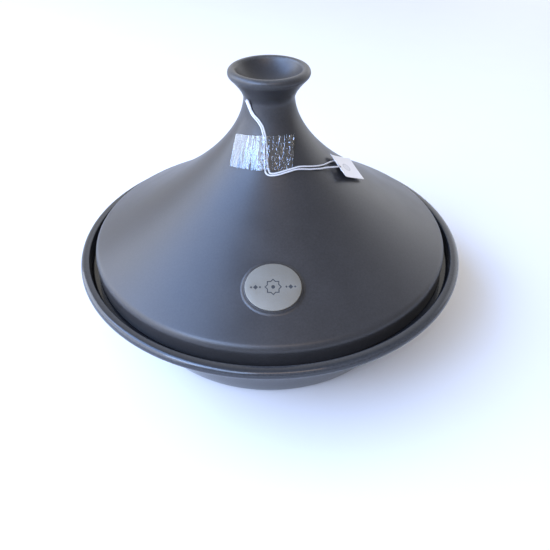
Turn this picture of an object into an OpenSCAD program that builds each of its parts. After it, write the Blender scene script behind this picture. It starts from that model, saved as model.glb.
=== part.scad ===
// Tagine pot: a shallow stoneware dish with a tall conical lid, an oval badge glued to a raised
// boss on the lid, and a string tag that is taped to the lid.
// Z is the pot's axis, the dish stands on Z = 0 and the badge faces -Y.

/* [Dish] */
// Diameter over the rim of the dish
dish_d = 320; // [260:1:390]
// Height of the rim above the table
dish_h = 71; // [60:1:90]
// How far the flat foot is set in from the rim
foot_inset = 48; // [40:1:60]
// Width of the foot ring that touches the table
foot_ring_w = 14; // [8:1:24]
// Height of the recess inside the foot ring
foot_recess = 1.5; // [1:0.5:3]
// Radius between the foot and the wall
foot_round = 6.5; // [3:0.5:9]
// Thickness of the dish floor
floor_t = 7; // [5:0.5:10]
// Radial width of the rim
rim_w = 7.5; // [6:0.5:10]
// Radius of the rim's outer edge
rim_round = 4; // [2:0.5:5]
// Depth of the lid seat below the rim
seat_depth = 9.5; // [6:0.5:14]
// Width of the lid seat
seat_w = 19; // [15:1:26]
// Thickness of the shelf under the lid seat
shelf_t = 6.5; // [5:0.5:9]

/* [Lid] */
// Height of the whole pot with its lid on
pot_h = 214; // [175:1:260]
// Gap between the lid's edge and the dish's rim
lid_gap = 6; // [3:0.5:8]
// Play between the resting lid and its seat
seat_play = 0.3; // [0.2:0.1:0.5]
// Thickness of the lid's wall
lid_wall = 6; // [4:0.5:9]
// Thickness of the lid's upright edge
skirt_t = 8; // [6:0.5:12]
// Height of the lid's upright edge
skirt_h = 13; // [8:0.5:18]
// Radius where the upright edge turns into the cone
shoulder_round = 7; // [4:0.5:10]
// Slope of the cone just inside the shoulder, in degrees
cone_slope = 29; // [22:1:36]
// How far the cone runs out at that slope
cone_reach = 47; // [35:1:60]
// Slope of the cone where it meets the knob, in degrees
neck_slope = 85; // [75:1:88]
// How far the neck runs down at that slope
neck_reach = 43; // [30:1:55]

/* [Knob] */
// Diameter of the neck under the knob
neck_d = 38; // [32:1:46]
// Diameter of the knob
knob_d = 60; // [50:1:72]
// Height of the knob above the neck
knob_h = 21.5; // [16:0.5:28]
// Thickness of the knob's round lip
lip_t = 7; // [5:0.2:9]
// Depth of the cup in the top of the knob
cup_depth = 14; // [6:0.5:16]
// Distance from the neck down to the closed top of the hollow
plug_h = 13; // [8:1:24]

/* [Badge] */
// Width of the oval badge
badge_w = 39; // [32:1:47]
// Height of the oval badge
badge_h = 34; // [28:1:41]
// Thickness of the badge
badge_t = 1; // [0.8:0.1:1.6]
// Thickness of the adhesive under the badge
glue_t = 0.3; // [0.2:0.1:0.6]
// Depth of the stamped pattern in the badge
stamp_depth = 0.3; // [0.2:0.1:0.5]
// Place of the badge on the cone, from 0 at the shoulder to 1 at the neck
badge_at = 0.236; // [0.2:0.002:0.3]
// Height of the boss under the badge
boss_h = 1.6; // [1.4:0.1:3]
// How much wider the boss is at its base than the badge
boss_margin = 3.5; // [2:0.5:5]

/* [Tag] */
// Length of the tag
tag_l = 32; // [26:1:39]
// Width of the tag
tag_w = 22; // [18:1:27]
// Thickness of the tag
tag_t = 0.4; // [0.3:0.1:0.5]
// How much wider the tag's hole is than the string
tag_hole_play = 2.8; // [2.4:0.2:3.8]
// Distance from the tag's end to the middle of its hole
tag_hole_in = 4; // [3.5:0.5:5]
// Thickness of the string
string_d = 1.2; // [1:0.05:1.5]

/* [Tape] */
// Length of the clear tape
tape_l = 49; // [40:1:60]
// Width of the clear tape
tape_w = 25; // [18:1:26]
// Thickness of the tape with its adhesive
tape_t = 0.2; // [0.1:0.05:0.3]

/* [Hidden] */
$fn = 96;
curve_steps = 20;
arc_steps = 6;

// Plain geometry helpers
function bezier(a, b, c, d, t) =
    pow(1 - t, 3) * a + 3 * t * pow(1 - t, 2) * b + 3 * t * t * (1 - t) * c + pow(t, 3) * d;
function bezier_way(a, b, c, d, t) =
    pow(1 - t, 2) * (b - a) + 2 * t * (1 - t) * (c - b) + t * t * (d - c);
function bezier_run(a, b, c, d, n = curve_steps) = [for (i = [0:n]) bezier(a, b, c, d, i / n)];
function arc(centre, r, from, to, n = arc_steps) =
    [for (i = [0:n]) let (a = from + (to - from) * i / n) centre + r * [cos(a), sin(a)]];
function oval(w, h, n = 64) =
    [for (i = [0:n - 1]) [cos(360 * i / n) * w / 2, sin(360 * i / n) * h / 2]];
function unit(v) = v / norm(v);

// Dish outline, from the axis along the underside, up the wall, over the rim and back inside
rim_r = dish_d / 2;
rim_in_r = rim_r - rim_w;
rim_in_round = 1.2;
seat_z = dish_h - seat_depth;
seat_corner = 1.5;
seat_in_r = rim_in_r - seat_w;
seat_round = 2.5;
foot_r = rim_r - foot_inset;
foot_in_r = foot_r - foot_ring_w;
floor_top = foot_recess + floor_t;
wall_lean = 28;
wall_reach = 23;
bowl_reach = 25;
wall_start = [
    foot_r + foot_round * cos(wall_lean),
    foot_round - foot_round * sin(wall_lean)
];
shelf_z = seat_z - shelf_t;
under_rim = [rim_r - rim_round - 3, shelf_z + 5];
wall_mid = wall_start + wall_reach * [sin(wall_lean), cos(wall_lean)];
wall_top = [seat_in_r + 1.5, shelf_z - 4];
bowl_top = [seat_in_r, seat_z - seat_round];

dish_outline = concat(
    [[0, foot_recess], [foot_in_r - foot_recess, foot_recess], [foot_in_r, 0]],
    arc([foot_r, foot_round], foot_round, -90, -wall_lean),
    bezier_run(wall_start, wall_mid, wall_top, under_rim),
    arc([rim_r - rim_round, dish_h - rim_round], rim_round, -50, 90, 12),
    arc([rim_in_r + rim_in_round, dish_h - rim_in_round], rim_in_round, 90, 180),
    arc([rim_in_r - 1 - seat_corner, seat_z + seat_corner], seat_corner, 0, -90),
    arc([seat_in_r + seat_round, seat_z - seat_round], seat_round, 90, 180),
    bezier_run(
        bowl_top, bowl_top - [1, bowl_reach], [foot_r + 1.5, floor_top], [foot_in_r, floor_top]
    ),
    [[0, floor_top]]
);

// Lid outline: skirt, shoulder, hollow-sided cone, knob with a cup, then the hollow inside
lid_r = rim_in_r - lid_gap;
skirt_z = seat_z + seat_play;
skirt_round = 2;
shoulder_z = skirt_z + skirt_h;
cone_a = [lid_r - shoulder_round, shoulder_z]
    + shoulder_round * [sin(cone_slope), cos(cone_slope)];
cone_d = [neck_d / 2, pot_h - knob_h];
cone_b = cone_a + cone_reach * [-cos(cone_slope), sin(cone_slope)];
cone_c = cone_d + neck_reach * [cos(neck_slope), -sin(neck_slope)];
function cone(t) = bezier(cone_a, cone_b, cone_c, cone_d, t);
function cone_way(t) = unit(bezier_way(cone_a, cone_b, cone_c, cone_d, t));
function cone_out(t) = [cone_way(t).y, -cone_way(t).x];
function slope_at(t) = atan2(cone_way(t).y, -cone_way(t).x);

knob_r = knob_d / 2;
lip_r = lip_t / 2;
lip_middle = [knob_r - lip_r, pot_h - lip_r];
lip_from = -45;
flare_start = cone_d + [0.3, 5];
flare_end = lip_middle + lip_r * [cos(lip_from), sin(lip_from)];
flare_mid = flare_end + 6 * [sin(lip_from), -cos(lip_from)];
cup_r = knob_r - lip_t + 1.5;
cup_z = pot_h - 0.8;
cup_sphere_r = (cup_r * cup_r + cup_depth * cup_depth) / (2 * cup_depth);
cup_half = asin(cup_r / cup_sphere_r);
cup_centre = [0, cup_z - cup_depth + cup_sphere_r];

hollow_from = 0.03;
hollow_to = 0.9;
function hollow(t) = cone(t) - lid_wall * cone_out(t);
hollow_end = hollow(hollow_to);
dome_rise = 3;
hollow_top = cone_d.y - plug_h + dome_rise;

lid_outline = concat(
    [[lid_r - skirt_t, skirt_z]],
    arc([lid_r - skirt_round, skirt_z + skirt_round], skirt_round, -90, 0),
    arc([lid_r - shoulder_round, shoulder_z], shoulder_round, 0, 90 - cone_slope),
    [for (i = [1:curve_steps]) cone(i / curve_steps)],
    [for (i = [1:10]) bezier(cone_d, flare_start, flare_mid, flare_end, i / 10)],
    arc(lip_middle, lip_r, lip_from + 15, 115, 12),
    arc(cup_centre, cup_sphere_r, cup_half - 90, -90, 10),
    [[0, hollow_top], [hollow_end.x * 0.6, hollow_top - 1]],
    [for (i = [0:curve_steps]) hollow(hollow_to + (hollow_from - hollow_to) * i / curve_steps)],
    [[lid_r - skirt_t, shoulder_z]]
);

// A point on the lid: angle round the pot from -Y, place on the cone from 0 to 1, height off it
function turn(p, az) = [p.x * cos(az) - p.y * sin(az), p.x * sin(az) + p.y * cos(az), p.z];
function on_cone(az, t, lift) =
    let (p = cone(t) + lift * cone_out(t)) turn([0, -p.x, p.y], az);
module at_cone(az, t, lift = 0) {
    p = cone(t) + lift * cone_out(t);
    rotate([0, 0, az])
        translate([0, -p.x, p.y])
            rotate([slope_at(t), 0, 0])
                children();
}

// Badge
boss_low = 0.8;
boss_sunk = 2.5;
boss_top_margin = 1;
glue_margin = 1.5;
glue_play = 0.02;
badge_lip = 0.5;
badge_step = 0.3;
enamel_low = 0.05;
star_r = 6;
star_line = 0.7;
star_dot_r = 1.3;
side_mark_x = 12;
side_mark_gap = 3;
side_mark = 2.4;

// Tag: where it lies on the lid, how far off it, and how it is turned
tag_az = 84.2;
tag_at = 0.55;
tag_lift = 2.2;
tag_turn = -45;
tag_corner = 1;
function on_tag(u, v, w) =
    let (
        c = cos(tag_turn), s = sin(tag_turn),
        x = u * c - v * s, y = u * s + v * c, z = w + tag_lift + tag_t / 2,
        a = slope_at(tag_at), p = cone(tag_at)
    )
    turn([x, y * cos(a) - z * sin(a) - p.x, y * sin(a) + z * cos(a) + p.y], tag_az);

// String: from one cut end at the neck, down under the tape, across to the tag, through its
// hole and back beside itself. On the lid the points are angle, place on the cone and lift.
// On the tag they are along, across, and off it in shares of what clears the card.
string_play = 0.18;
lie = string_d / 2 + string_play;
tag_pass = string_d / 2 + tag_t / 2 + 0.33;
string_out = [
    [-52.6, 1.015, lie + 1], [-49.3, 0.99, lie + 0.35], [-44, 0.966, lie], [-36, 0.9435, lie],
    [-26.3, 0.9245, lie], [-19.6, 0.9065, lie], [-15, 0.888, lie], [-11.5, 0.86, lie],
    [-9.2, 0.832, lie], [-8, 0.79, lie], [-7.4, 0.75, lie], [-6.6, 0.72, lie], [-5.7, 0.698, lie],
    [-4.4, 0.683, lie], [-1.5, 0.6755, lie], [3, 0.6745, lie], [8, 0.677, lie],
    [13, 0.6805, lie + 0.2], [19, 0.684, lie + 0.4], [26, 0.686, lie + 0.3], [33, 0.681, lie],
    [41, 0.6685, lie], [48, 0.6575, lie + 0.2], [54, 0.646, lie + 0.5], [59.8, 0.635, lie + 1.2]
];
string_loop = [
    [-18.5, -2.2, 0.85], [-16.4, -1.7, 0.95], [-14.6, -1.1, 0.95], [-13.2, -0.5, 0.65],
    [-12, 0, 0], [-10.8, 0.5, -0.62], [-9.5, 1.4, -0.95], [-8.6, 3, -1],
    [-8.8, 4.9, -1], [-10.4, 6.3, -1], [-13, 6.1, -1], [-16, 5.2, -1], [-19, 4.6, -1.1]
];
string_back = [
    [64.5, 0.646, lie + 0.4], [59, 0.654, lie + 0.1], [52.5, 0.664, lie], [46, 0.6745, lie],
    [38, 0.6865, lie], [30, 0.6945, lie + 0.2], [22, 0.6935, lie + 0.4], [15, 0.6905, lie + 0.4],
    [9, 0.6865, lie + 0.2], [4, 0.6845, lie], [0.6, 0.6865, lie], [-1.6, 0.693, lie],
    [-2.9, 0.705, lie], [-3.6, 0.725, lie], [-4, 0.75, lie], [-4.7, 0.79, lie], [-5.9, 0.832, lie],
    [-8.3, 0.8625, lie], [-12.2, 0.8935, lie], [-16.8, 0.9125, lie], [-24, 0.9325, lie],
    [-33.2, 0.95, lie], [-40.4, 0.9705, lie], [-45.6, 0.9945, lie + 0.35], [-48.4, 1.018, lie + 1.1]
];
// The strands lie side by side, so a string other than 1.2 thick moves them apart or together.
strand_shift = (string_d - 1.2) / 2;
function strand(p, side) =
    let (
        step = side * strand_shift,
        run = 3 * norm(bezier_way(cone_a, cone_b, cone_c, cone_d, p[1]))
    )
    on_cone(p[0] + step / cone(p[1]).x * 180 / PI, p[1] + step / run, p[2]);
string_route = concat(
    [for (p = string_out) strand(p, -1)],
    [for (p = string_loop) on_tag(p[0], p[1], p[2] * tag_pass)],
    [for (p = string_back) strand(p, 1)]
);
string_sides = 8;

// Tape: a strip laid straight on the cone, raised where it runs over the two strands
tape_az = -12;
tape_low_at = 0.694;
tape_mid_at = tape_low_at + 0.08;
tape_tilt = 0.03;
tape_play = 0.15;
tape_cells = [30, 8];
bump_az = [-3.2, -7];
bump_at = [0.7, 0.84];
bump_half = 4.6;
bump_play = 0.42;
function bump_middle(t) =
    bump_az[0] + (bump_az[1] - bump_az[0]) * (t - bump_at[0]) / (bump_at[1] - bump_at[0]);

// A closed tube of n sides along a line of points
module tube(line, d, n) {
    last = len(line) - 1;
    up = [0, -0.87, 0.5];
    rings = [for (i = [0:last])
        let (
            way = unit(line[min(i + 1, last)] - line[max(i - 1, 0)]),
            side = unit(cross(way, up)),
            top = cross(side, way)
        )
        for (k = [0:n - 1])
            line[i] + d / 2 * (cos(360 * k / n) * side + sin(360 * k / n) * top)];
    walls = [for (i = [0:last - 1]) for (k = [0:n - 1])
        [i * n + k, i * n + (k + 1) % n, (i + 1) * n + (k + 1) % n, (i + 1) * n + k]];
    start_cap = [[for (k = [0:n - 1]) n - 1 - k]];
    end_cap = [[for (k = [0:n - 1]) last * n + k]];
    polyhedron(rings, concat(walls, start_cap, end_cap));
}

// A closed thin sheet between a lower and an upper grid of points, each (nu + 1) x (nv + 1)
module sheet(lower, upper, nu, nv) {
    row = nv + 1;
    count = (nu + 1) * row;
    bottom = [for (i = [0:nu - 1]) for (j = [0:nv - 1])
        let (a = i * row + j) for (f = [[a, a + row, a + 1], [a + 1, a + row, a + row + 1]]) f];
    top = [for (f = bottom) [f[0] + count, f[2] + count, f[1] + count]];
    edge = concat(
        [for (i = [0:nu]) i * row],
        [for (j = [1:nv]) nu * row + j],
        [for (i = [nu - 1:-1:0]) i * row + nv],
        [for (j = [nv - 1:-1:1]) j]
    );
    n = len(edge);
    sides = [for (i = [0:n - 1])
        let (a = edge[i], b = edge[(i + 1) % n])
            for (f = [[a, b + count, b], [a, a + count, b + count]]) f];
    polyhedron(concat(lower, upper), concat(bottom, top, sides));
}

function rounded_rectangle(l, w, r) = concat(
    arc([l / 2 - r, w / 2 - r], r, 0, 90),
    arc([r - l / 2, w / 2 - r], r, 90, 180),
    arc([r - l / 2, r - w / 2], r, 180, 270),
    arc([l / 2 - r, r - w / 2], r, 270, 360)
);

module dish() {
    color("#3a3c40")
        rotate_extrude()
            polygon(dish_outline);
}

module badge_boss() {
    face = 0.1;
    at_cone(0, badge_at)
        hull() {
            translate([0, 0, boss_h - face])
                linear_extrude(face)
                    polygon(oval(badge_w + boss_top_margin, badge_h + boss_top_margin));
            translate([0, -boss_low, -boss_sunk])
                linear_extrude(boss_sunk + 0.5)
                    polygon(oval(badge_w + boss_margin, badge_h + boss_margin));
        }
}

module lid() {
    color("#3a3c40")
        union() {
            rotate_extrude()
                polygon(lid_outline);
            badge_boss();
        }
}

module stamp_pattern() {
    star = star_r * sqrt(2);
    difference() {
        for (a = [0, 45])
            rotate(a) square(star, center = true);
        for (a = [0, 45])
            rotate(a) square(star - 2 * star_line, center = true);
    }
    circle(r = star_dot_r);
    for (side = [-1, 1])
        for (k = [-1:1])
            translate([side * side_mark_x + k * side_mark_gap, 0])
                rotate(45)
                    square(k == 0 ? side_mark : side_mark / 2, center = true);
}

module badge_plate() {
    color("#a3a4a6")
        at_cone(0, badge_at, boss_h + glue_t)
            difference() {
                union() {
                    linear_extrude(badge_t - badge_step)
                        polygon(oval(badge_w, badge_h));
                    linear_extrude(badge_t)
                        polygon(oval(badge_w - badge_lip, badge_h - badge_lip));
                }
                translate([0, 0, badge_t - stamp_depth])
                    linear_extrude(stamp_depth + 1)
                        stamp_pattern();
            }
}

module badge_enamel() {
    color("#3d3f42")
        at_cone(0, badge_at, boss_h + glue_t + badge_t - stamp_depth)
            linear_extrude(stamp_depth - enamel_low)
                stamp_pattern();
}

module badge_adhesive() {
    color("#c9c4b4")
        at_cone(0, badge_at, boss_h + glue_play)
            linear_extrude(glue_t - glue_play)
                polygon(oval(badge_w - glue_margin, badge_h - glue_margin));
}

module tag_string() {
    color("#e9e9ec")
        tube(string_route, string_d, string_sides);
}

module tag_card() {
    color("#e4e4e8")
        at_cone(tag_az, tag_at, tag_lift)
            rotate([0, 0, tag_turn])
                difference() {
                    linear_extrude(tag_t)
                        polygon(rounded_rectangle(tag_l, tag_w, tag_corner));
                    translate([tag_hole_in - tag_l / 2, 0, -1])
                        cylinder(d = string_d + tag_hole_play, h = tag_t + 2);
                }
}

// Height of the tape off the lid at a place on the cone, higher over the strands
function tape_lift(az, t) =
    let (off = (az - bump_middle(t)) * cone(t).x * PI / 180)
    tape_play + (string_d + bump_play) / (1 + pow(off / bump_half, 4));

function tape_point(s, w, extra) =
    let (
        droop = s * s / (8 * cone(tape_mid_at).x),
        speed = 3 * norm(bezier_way(cone_a, cone_b, cone_c, cone_d, tape_mid_at)),
        t = tape_low_at + (w + tape_w / 2 + tape_tilt * s - droop) / speed,
        az = tape_az + s / cone(t).x * 180 / PI
    )
    on_cone(az, t, tape_lift(az, t) + extra);

module clear_tape() {
    nu = tape_cells[0];
    nv = tape_cells[1];
    grid = [for (i = [0:nu]) for (j = [0:nv]) [(i / nu - 0.5) * tape_l, (j / nv - 0.5) * tape_w]];
    color("#aab4bd", 0.5)
        sheet(
            [for (g = grid) tape_point(g[0], g[1], 0)],
            [for (g = grid) tape_point(g[0], g[1], tape_t)],
            nu, nv
        );
}

dish();
lid();
badge_plate();
badge_enamel();
badge_adhesive();
tag_string();
tag_card();
clear_tape();
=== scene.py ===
"""A stoneware tagine pot: a shallow dish, a tall lid with a badge, a string tag and tape.

Every length is in metres, with Z up the pot's axis and the badge facing -Y.
"""

import math
import random

import bpy
from bpy.props import FloatProperty, FloatVectorProperty, PointerProperty
from mathutils import Matrix, Vector, noise


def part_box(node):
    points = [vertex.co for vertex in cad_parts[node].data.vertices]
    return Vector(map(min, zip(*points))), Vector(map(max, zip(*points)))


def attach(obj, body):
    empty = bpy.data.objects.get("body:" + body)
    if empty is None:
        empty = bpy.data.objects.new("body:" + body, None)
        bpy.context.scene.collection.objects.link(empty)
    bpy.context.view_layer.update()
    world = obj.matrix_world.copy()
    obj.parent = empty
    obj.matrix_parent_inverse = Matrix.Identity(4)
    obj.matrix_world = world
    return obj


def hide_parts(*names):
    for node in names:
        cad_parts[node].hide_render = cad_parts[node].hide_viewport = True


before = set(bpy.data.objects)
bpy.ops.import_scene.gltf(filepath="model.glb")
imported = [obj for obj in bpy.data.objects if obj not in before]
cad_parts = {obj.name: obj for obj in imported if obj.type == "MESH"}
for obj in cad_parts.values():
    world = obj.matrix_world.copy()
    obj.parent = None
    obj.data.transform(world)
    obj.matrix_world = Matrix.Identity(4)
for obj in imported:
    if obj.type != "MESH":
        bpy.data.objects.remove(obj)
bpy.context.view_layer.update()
DISH_LOW, DISH_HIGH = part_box("dish")
LID_LOW, LID_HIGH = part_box("lid")

bl_info = {
    "name": "Tagine Pot",
    "version": (1, 0, 0),
    "blender": (4, 5, 0),
    "location": "3D View > Sidebar > Tagine",
    "description": "Models a glazed stoneware tagine with its badge, string tag and tape",
    "category": "Add Mesh",
}

MM = 0.001
# Steps round a turned piece, and how near two of its points are when they are one.
AROUND = 256
SAME_POINT = 0.001 * MM


# ---------------------------------------------------------------- colours and small helpers


def linear(hex_colour):
    """An sRGB hex colour, such as "3A3C40", as linear red, green and blue."""
    parts = [int(hex_colour[i : i + 2], 16) / 255 for i in (0, 2, 4)]
    return [c / 12.92 if c <= 0.04045 else ((c + 0.055) / 1.055) ** 2.4 for c in parts]


def length(name, text, default, low=0.0, high=1.0):
    """A length in metres that the sidebar shows in the scene's own unit."""
    return FloatProperty(
        name=name, description=text, default=default, min=low, max=high,
        unit="LENGTH", precision=5,
    )


def colour(name, text, hex_colour):
    """A colour that the sidebar shows as a swatch."""
    return FloatVectorProperty(
        name=name, description=text, default=linear(hex_colour), min=0.0, max=1.0,
        subtype="COLOR", size=3,
    )


def share(name, text, default):
    """A plain number from 0 to 1."""
    return FloatProperty(
        name=name, description=text, default=default, min=0.0, max=1.0, subtype="FACTOR",
    )


def angle(name, text, degrees):
    """An angle that the sidebar shows in degrees."""
    return FloatProperty(
        name=name, description=text, default=math.radians(degrees), subtype="ANGLE",
    )


# ---------------------------------------------------------------- sizes and colours


class TAGINE_PG_dish(bpy.types.PropertyGroup):
    diameter: length("Rim diameter", "Diameter over the rim", DISH_HIGH.x - DISH_LOW.x)
    height: length("Height", "Height of the rim above the table", DISH_HIGH.z)
    foot_inset: length("Foot inset", "How far the foot is set in from the rim", 0.048)
    foot_ring: length("Foot ring", "Width of the ring that touches the table", 0.014)
    foot_recess: length("Foot recess", "Height of the recess inside the ring", 0.0015)
    foot_round: length("Foot rounding", "Radius between foot and wall", 0.0065)
    floor: length("Floor", "Thickness of the floor", 0.007)
    rim_width: length("Rim width", "Radial width of the rim", 0.0075)
    rim_round: length("Rim rounding", "Radius of the rim's outer edge", 0.004)
    seat_depth: length("Seat depth", "Depth of the lid seat below the rim", 0.0095)
    seat_width: length("Seat width", "Width of the lid seat", 0.019)
    shelf: length("Shelf", "Thickness of the shelf under the seat", 0.0065)
    wall_lean: angle("Wall lean", "How far the wall leans out above the foot", 28)
    glaze: colour("Glaze", "Colour of the dish's glaze where it lies thick", "26282C")
    # The paler edge colour is partly thin glaze and partly a painted highlight along the
    # edges.
    glaze_thin_and_highlight: colour("Thin glaze", "Colour where it runs thin on edges", "4E4F52")
    clay: colour("Bare clay", "Colour of the unglazed foot ring", "6B6156")


class TAGINE_PG_lid(bpy.types.PropertyGroup):
    top: length("Top", "Height of the knob's lip above the table", LID_HIGH.z)
    gap: length("Gap", "Gap between the lid's edge and the dish's rim", 0.006)
    wall: length("Wall", "Thickness of the lid's wall", 0.006)
    seat: length("Seat", "Height of the lid's lower edge above the table", LID_LOW.z)
    skirt: length("Edge", "Thickness of the upright edge", 0.008)
    skirt_height: length("Edge height", "Height of the upright edge", 0.013)
    shoulder: length("Shoulder", "Radius where the edge turns into the cone", 0.007)
    cone_slope: angle("Cone slope", "Slope of the cone inside the shoulder", 29)
    cone_reach: length("Cone reach", "How far the cone keeps that slope", 0.047)
    neck_slope: angle("Neck slope", "Slope of the cone under the knob", 85)
    neck_reach: length("Neck reach", "How far the neck keeps that slope", 0.043)
    neck: length("Neck", "Diameter of the neck", 0.038)
    knob: length("Knob", "Diameter of the knob", 0.060)
    knob_height: length("Knob height", "Height of the knob above the neck", 0.0215)
    lip: length("Lip", "Thickness of the knob's round lip", 0.007)
    cup: length("Cup", "Depth of the cup in the knob", 0.014)
    lip_overhang: length("Lip overhang", "How far the lip reaches over the cup", 0.0015)
    cup_drop: length("Cup drop", "From the lip's top to the cup's edge", 0.0008)
    plug: length("Plug", "From the neck down to the top of the hollow", 0.013)
    glaze: colour("Glaze", "Colour of the lid's glaze where it lies thick", "302F30")
    # The paler edge colour is partly thin glaze and partly a painted highlight along the
    # edges.
    glaze_thin_and_highlight: colour("Thin glaze", "Colour where it runs thin on edges", "575756")


class TAGINE_PG_badge(bpy.types.PropertyGroup):
    width: length("Width", "Width of the oval badge", 0.039)
    height: length("Height", "Height of the oval badge", 0.034)
    thick: length("Thickness", "Thickness of the badge", 0.001)
    edge_round: length("Edge rounding", "Radius of its upper edge", 0.00035)
    glue: length("Adhesive", "Thickness of the adhesive under it", 0.0003)
    stamp: length("Stamp depth", "Depth of the stamped pattern", 0.0003)
    place: share("Place", "From 0 at the shoulder to 1 at the neck", 0.236)
    boss: length("Boss height", "Height of the boss under the badge", 0.0016)
    star: length("Star", "Radius of the eight-pointed star", 0.006)
    star_line: length("Star line", "Width of the star's outline", 0.0007)
    metal: colour("Metal", "Colour of the blasted aluminium", "8E8B82")
    enamel: colour("Enamel", "Colour of the fill in the pattern", "3B3D40")
    adhesive: colour("Adhesive", "Colour of the foam adhesive", "CFCABB")


class TAGINE_PG_tag(bpy.types.PropertyGroup):
    long: length("Length", "Length of the card", 0.032)
    wide: length("Width", "Width of the card", 0.022)
    thick: length("Thickness", "Thickness of the card", 0.0004)
    corner: length("Corner", "Radius of the card's corners", 0.001)
    hole: length("Hole", "Diameter of the hole", 0.004)
    hole_in: length("Hole inset", "From the card's end to the hole", 0.004)
    lift: length("Lift", "How far the card lies off the lid", 0.0022)
    place: share("Place", "From 0 at the shoulder to 1 at the neck", 0.55)
    azimuth: angle("Azimuth", "Angle round the lid from the badge", 84.2)
    turn: angle("Turn", "How far the card is turned on the lid", -45)
    string: length("String", "Thickness of the string", 0.0012)
    card: colour("Card", "Colour of the card", "ECECF0")
    print: colour("Print", "Colour of the printed oval", "A9ABB2")
    cotton: colour("Cotton", "Colour of the string", "D9D8DA")


class TAGINE_PG_tape(bpy.types.PropertyGroup):
    long: length("Length", "Length of the tape", 0.049)
    wide: length("Width", "Width of the tape", 0.025)
    thick: length("Thickness", "Thickness of the film", 0.00008)
    play: length("Play", "Height of the film over the lid", 0.00015)
    low: share("Lower edge", "From 0 at the shoulder to 1 at the neck", 0.694)
    azimuth: angle("Azimuth", "Angle round the lid from the badge", -12)
    skew: share("Skew", "How far the film climbs for each metre to the right", 0.03)
    pucker: share("Pucker", "How much narrower the film is at its left end", 0.1)
    tent: length("Tent", "How much higher the film is over the string", 0.00162)
    tent_side: length("Tent side", "From the string to where it is half as high", 0.0046)
    film: colour("Film", "Tint of the clear film", "F4F7FA")
    # Tint of the pale veil that is painted on the film as the window's reflection.
    glare_tint: colour("Haze", "Colour where air is caught under the film", "D2D2D6")


class TAGINE_PG_stage(bpy.types.PropertyGroup):
    floor: colour("Floor", "Colour of the plain floor", "E3E4E7")
    window: colour("Window", "Colour of the light from the window", "E0EAFF")
    blue_window: colour("Front window", "Colour of the light from the front left", "B4D0FF")
    sky: colour("Sky", "Colour of the light from high on the left", "94BCFF")
    room: colour("Room", "Colour of the light from the rest of the room", "FFDDB2")


GROUPS = {
    "tagine_dish": TAGINE_PG_dish,
    "tagine_lid": TAGINE_PG_lid,
    "tagine_badge": TAGINE_PG_badge,
    "tagine_tag": TAGINE_PG_tag,
    "tagine_tape": TAGINE_PG_tape,
    "tagine_stage": TAGINE_PG_stage,
}


# ---------------------------------------------------------------- outlines: radius, height


def bezier(a, b, c, d, t):
    """A point on a cubic curve."""
    u = 1 - t
    return u**3 * a + 3 * t * u**2 * b + 3 * t * t * u * c + t**3 * d


def bezier_run(a, b, c, d, steps):
    """Points along a cubic curve."""
    return [bezier(a, b, c, d, i / steps) for i in range(steps + 1)]


def arc(middle, radius, start, end, steps):
    """Points along an arc, with its angles in degrees."""
    turns = [math.radians(start + (end - start) * i / steps) for i in range(steps + 1)]
    return [middle + radius * Vector((math.cos(a), math.sin(a))) for a in turns]


def dish_outline(dish):
    """The dish from under its middle, up the wall and over the rim to its floor."""
    rim = dish.diameter / 2
    inside = rim - dish.rim_width
    seat = dish.height - dish.seat_depth
    seat_in = inside - dish.seat_width
    foot = rim - dish.foot_inset
    foot_in = foot - dish.foot_ring
    floor = dish.foot_recess + dish.floor
    lean = dish.wall_lean
    wall_start = Vector((foot, dish.foot_round)) + dish.foot_round * Vector(
        (math.cos(lean), -math.sin(lean))
    )
    shelf = seat - dish.shelf
    under_rim = Vector((rim - dish.rim_round - 3 * MM, shelf + 5 * MM))
    wall_mid = wall_start + 23 * MM * Vector((math.sin(lean), math.cos(lean)))
    wall_top = Vector((seat_in + 1.5 * MM, shelf - 4 * MM))
    edge, corner, round_in = 1.2 * MM, 1.5 * MM, 2.5 * MM
    recess_round, ring_round = 0.75 * MM, 0.6 * MM
    bowl = Vector((seat_in, seat - round_in))
    return (
        [Vector((0, dish.foot_recess)), Vector((foot_in * 0.6, dish.foot_recess))]
        + arc(Vector((foot_in - 2.2 * MM, dish.foot_recess - recess_round)),
              recess_round, 90, 20, 4)
        + arc(Vector((foot_in + ring_round, ring_round)), ring_round, 200, 270, 4)
        + arc(Vector((foot, dish.foot_round)), dish.foot_round, -90, -math.degrees(lean), 8)
        + bezier_run(wall_start, wall_mid, wall_top, under_rim, 36)[1:]
        + arc(Vector((rim - dish.rim_round, dish.height - dish.rim_round)),
              dish.rim_round, -50, 90, 16)
        + arc(Vector((inside + edge, dish.height - edge)), edge, 90, 180, 8)
        + arc(Vector((inside - 1 * MM - corner, seat + corner)), corner, 0, -90, 6)
        + arc(Vector((seat_in + round_in, seat - round_in)), round_in, 90, 180, 8)
        + bezier_run(bowl, bowl - Vector((1 * MM, 25 * MM)),
                     Vector((foot + 1.5 * MM, floor)), Vector((foot_in, floor)), 36)[1:]
        + [Vector((foot_in * s, floor)) for s in (0.75, 0.5, 0.25, 0)]
    )


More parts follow.
